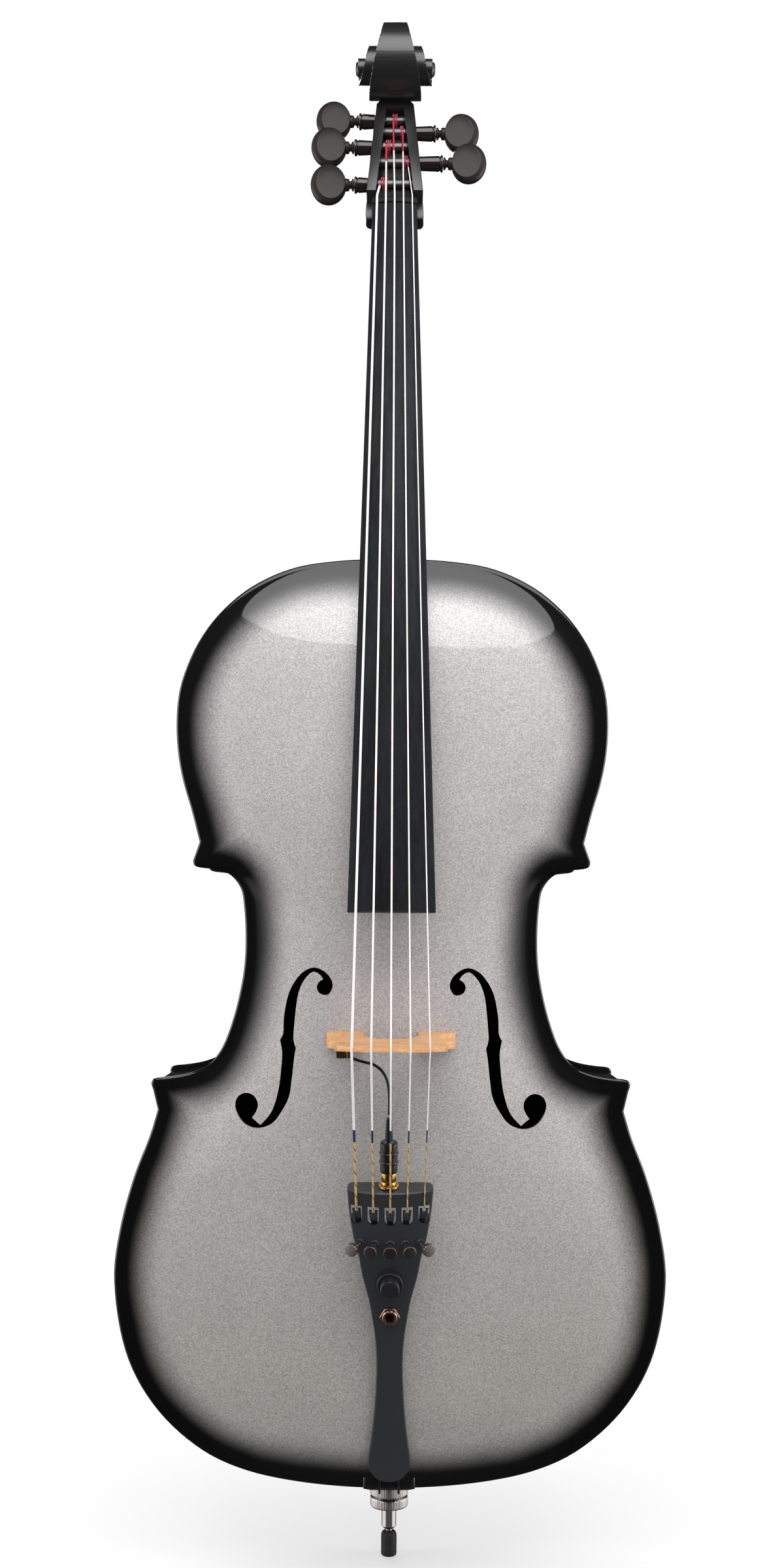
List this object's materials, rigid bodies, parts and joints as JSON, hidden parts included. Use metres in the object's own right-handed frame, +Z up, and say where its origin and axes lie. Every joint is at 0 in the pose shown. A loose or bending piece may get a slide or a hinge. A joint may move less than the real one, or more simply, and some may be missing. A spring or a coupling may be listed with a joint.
{
  "type": "electric cello",
  "caption": "Full-size hollow-bodied electric cello with f-holes, bridge, tuned tailpiece with controls, geared pegs and sliding endpin.",
  "frame": {"origin": "centre of the flat foot of the endpin's rubber tip, with the endpin pushed in", "axes": "+Z up the instrument towards the scroll, -Y out of the front (the side with the strings), +X to the right as seen from the front"},
  "size_m": [0.446, 0.2617, 1.2976],
  "materials": {
    "flake_lacquer": "silver metal-flake under a thick clear gloss coat, black burst at the edges",
    "black_lacquer": "high-gloss black lacquer",
    "spruce": "bare wood",
    "satin_black": "satin black lacquer",
    "board_black": "dyed and polished hardwood",
    "maple": "oiled maple",
    "peg_composite": "satin moulded composite",
    "peg_shell": "polished dark composite",
    "red_silk": "silk thread wrap",
    "string_steel": "flat-wound steel",
    "tail_composite": "satin moulded composite",
    "cord_black": "braided synthetic cord",
    "lever_grey": "dark plated steel",
    "brushed_nickel": "brushed nickel plate",
    "chromed_steel": "polished chrome plate",
    "rubber_black": "matte black rubber",
    "knob_black": "moulded black plastic",
    "gilt": "gold-coloured plate",
    "copper_plate": "rose-coloured polished plate"
  },
  "bodies": {
    "instrument": {"fingerboard": "board_black", "nut": "board_black", "tailpiece": "tail_composite", "control_pot": "brushed_nickel", "output_jack": "copper_plate", "pickup_socket": "gilt", "pickup_plug": "rubber_black", "top_plate": "flake_lacquer", "rib_garland": "black_lacquer", "back_plate": "black_lacquer", "neck_block": "spruce", "end_block": "spruce", "sound_post": "spruce", "neck": "satin_black", "saddle": "board_black", "bridge": "maple", "string_1": "string_steel", "string_2": "string_steel", "string_3": "string_steel", "string_4": "string_steel", "string_5": "string_steel", "peg_housing_1": "peg_shell", "peg_housing_2": "peg_shell", "peg_housing_3": "peg_shell", "peg_housing_4": "peg_shell", "peg_housing_5": "peg_shell", "tail_cord": "cord_black", "pickup_element": "gilt", "pickup_cable": "rubber_black", "endpin_plug": "chromed_steel"},
    "peg_head_1": {"peg_head_1": "peg_composite"},
    "peg_shaft_1": {"peg_shaft_1": "peg_shell", "peg_winding_1": "red_silk"},
    "tuner_screw_1": {"tuner_screw_1": "brushed_nickel"},
    "tuner_lever_1": {"tuner_lever_1": "lever_grey"},
    "peg_head_2": {"peg_head_2": "peg_composite"},
    "peg_shaft_2": {"peg_shaft_2": "peg_shell", "peg_winding_2": "red_silk"},
    "tuner_screw_2": {"tuner_screw_2": "brushed_nickel"},
    "tuner_lever_2": {"tuner_lever_2": "lever_grey"},
    "peg_head_3": {"peg_head_3": "peg_composite"},
    "peg_shaft_3": {"peg_shaft_3": "peg_shell", "peg_winding_3": "red_silk"},
    "tuner_screw_3": {"tuner_screw_3": "brushed_nickel"},
    "tuner_lever_3": {"tuner_lever_3": "lever_grey"},
    "peg_head_4": {"peg_head_4": "peg_composite"},
    "peg_shaft_4": {"peg_shaft_4": "peg_shell", "peg_winding_4": "red_silk"},
    "tuner_screw_4": {"tuner_screw_4": "brushed_nickel"},
    "tuner_lever_4": {"tuner_lever_4": "lever_grey"},
    "peg_head_5": {"peg_head_5": "peg_composite"},
    "peg_shaft_5": {"peg_shaft_5": "peg_shell", "peg_winding_5": "red_silk"},
    "tuner_screw_5": {"tuner_screw_5": "brushed_nickel"},
    "tuner_lever_5": {"tuner_lever_5": "lever_grey"},
    "endpin": {"endpin_rod": "chromed_steel", "endpin_tip": "rubber_black"},
    "clamp_nut": {"endpin_clamp_nut": "chromed_steel"},
    "volume_knob": {"volume_knob": "knob_black"},
    "tone_knob": {"tone_knob": "knob_black"}
  },
  "joints": [
    {"name": "peg_head_1_turn", "type": "hinge", "parent": "instrument", "child": "peg_head_1", "pos_m": [0, -0.02932, 1.14906], "axis": [1, 0, 0], "continuous": true},
    {"name": "peg_shaft_1_turn", "type": "hinge", "parent": "instrument", "child": "peg_shaft_1", "pos_m": [0, -0.02932, 1.14906], "axis": [1, 0, 0], "continuous": true},
    {"name": "peg_head_2_turn", "type": "hinge", "parent": "instrument", "child": "peg_head_2", "pos_m": [0, -0.00915, 1.1894], "axis": [1, 0, 0], "continuous": true},
    {"name": "peg_shaft_2_turn", "type": "hinge", "parent": "instrument", "child": "peg_shaft_2", "pos_m": [0, -0.00915, 1.1894], "axis": [1, 0, 0], "continuous": true},
    {"name": "peg_head_3_turn", "type": "hinge", "parent": "instrument", "child": "peg_head_3", "pos_m": [0, 0.00534, 1.21838], "axis": [1, 0, 0], "continuous": true},
    {"name": "peg_shaft_3_turn", "type": "hinge", "parent": "instrument", "child": "peg_shaft_3", "pos_m": [0, 0.00534, 1.21838], "axis": [1, 0, 0], "continuous": true},
    {"name": "peg_head_4_turn", "type": "hinge", "parent": "instrument", "child": "peg_head_4", "pos_m": [0, -0.00128, 1.20514], "axis": [1, 0, 0], "continuous": true},
    {"name": "peg_shaft_4_turn", "type": "hinge", "parent": "instrument", "child": "peg_shaft_4", "pos_m": [0, -0.00128, 1.20514], "axis": [1, 0, 0], "continuous": true},
    {"name": "peg_head_5_turn", "type": "hinge", "parent": "instrument", "child": "peg_head_5", "pos_m": [0, -0.01769, 1.17231], "axis": [1, 0, 0], "continuous": true},
    {"name": "peg_shaft_5_turn", "type": "hinge", "parent": "instrument", "child": "peg_shaft_5", "pos_m": [0, -0.01769, 1.17231], "axis": [1, 0, 0], "continuous": true},
    {"name": "tuner_screw_1_turn", "type": "hinge", "parent": "instrument", "child": "tuner_screw_1", "pos_m": [-0.0228, -0.13163, 0.29059], "axis": [-0.4695, -0.8508, -0.236], "range_deg": [0, 1800]},
    {"name": "tuner_lever_1_tilt", "type": "hinge", "parent": "instrument", "child": "tuner_lever_1", "pos_m": [-0.02509, -0.12953, 0.30705], "axis": [1, 0, 0], "range_deg": [0, 8.1]},
    {"name": "tuner_screw_2_turn", "type": "hinge", "parent": "instrument", "child": "tuner_screw_2", "pos_m": [-0.0114, -0.13394, 0.28995], "axis": [-0.2419, -0.935, -0.2593], "range_deg": [0, 1800]},
    {"name": "tuner_lever_2_tilt", "type": "hinge", "parent": "instrument", "child": "tuner_lever_2", "pos_m": [-0.01299, -0.12953, 0.30705], "axis": [1, 0, 0], "range_deg": [0, 8.1]},
    {"name": "tuner_screw_3_turn", "type": "hinge", "parent": "instrument", "child": "tuner_screw_3", "pos_m": [0, -0.13469, 0.28974], "axis": [0, -0.9636, -0.2672], "range_deg": [0, 1800]},
    {"name": "tuner_lever_3_tilt", "type": "hinge", "parent": "instrument", "child": "tuner_lever_3", "pos_m": [0, -0.12953, 0.30705], "axis": [1, 0, 0], "range_deg": [0, 8.1]},
    {"name": "tuner_screw_4_turn", "type": "hinge", "parent": "instrument", "child": "tuner_screw_4", "pos_m": [0.0114, -0.13394, 0.28995], "axis": [0.2419, -0.935, -0.2593], "range_deg": [0, 1800]},
    {"name": "tuner_lever_4_tilt", "type": "hinge", "parent": "instrument", "child": "tuner_lever_4", "pos_m": [0.01299, -0.12953, 0.30705], "axis": [1, 0, 0], "range_deg": [0, 8.1]},
    {"name": "tuner_screw_5_turn", "type": "hinge", "parent": "instrument", "child": "tuner_screw_5", "pos_m": [0.0228, -0.13163, 0.29059], "axis": [0.4695, -0.8508, -0.236], "range_deg": [0, 1800]},
    {"name": "tuner_lever_5_tilt", "type": "hinge", "parent": "instrument", "child": "tuner_lever_5", "pos_m": [0.02509, -0.12953, 0.30705], "axis": [1, 0, 0], "range_deg": [0, 8.1]},
    {"name": "endpin_slide", "type": "slide", "parent": "instrument", "child": "endpin", "axis": [0, 0, -1], "range_m": [0, 0.35]},
    {"name": "clamp_nut_turn", "type": "hinge", "parent": "instrument", "child": "clamp_nut", "pos_m": [0, 0, 0.0467], "axis": [0, 0, 1], "range_deg": [0, 270]},
    {"name": "volume_turn", "type": "hinge", "parent": "instrument", "child": "volume_knob", "pos_m": [0, -0.12646, 0.26006], "axis": [0, -0.9636, -0.2672], "range_deg": [-150, 150]},
    {"name": "tone_turn", "type": "hinge", "parent": "instrument", "child": "tone_knob", "pos_m": [0, -0.12646, 0.26006], "axis": [0, -0.9636, -0.2672], "range_deg": [-150, 150]}
  ],
  "couplings": [
    {"joint": "peg_shaft_1_turn", "follows": "peg_head_1_turn", "ratio": 0.25},
    {"joint": "peg_shaft_2_turn", "follows": "peg_head_2_turn", "ratio": 0.25},
    {"joint": "peg_shaft_3_turn", "follows": "peg_head_3_turn", "ratio": 0.25},
    {"joint": "peg_shaft_4_turn", "follows": "peg_head_4_turn", "ratio": 0.25},
    {"joint": "peg_shaft_5_turn", "follows": "peg_head_5_turn", "ratio": 0.25},
    {"joint": "tuner_lever_1_tilt", "follows": "tuner_screw_1_turn", "ratio": 0.0045},
    {"joint": "tuner_lever_2_tilt", "follows": "tuner_screw_2_turn", "ratio": 0.0045},
    {"joint": "tuner_lever_3_tilt", "follows": "tuner_screw_3_turn", "ratio": 0.0045},
    {"joint": "tuner_lever_4_tilt", "follows": "tuner_screw_4_turn", "ratio": 0.0045},
    {"joint": "tuner_lever_5_tilt", "follows": "tuner_screw_5_turn", "ratio": 0.0045}
  ]
}
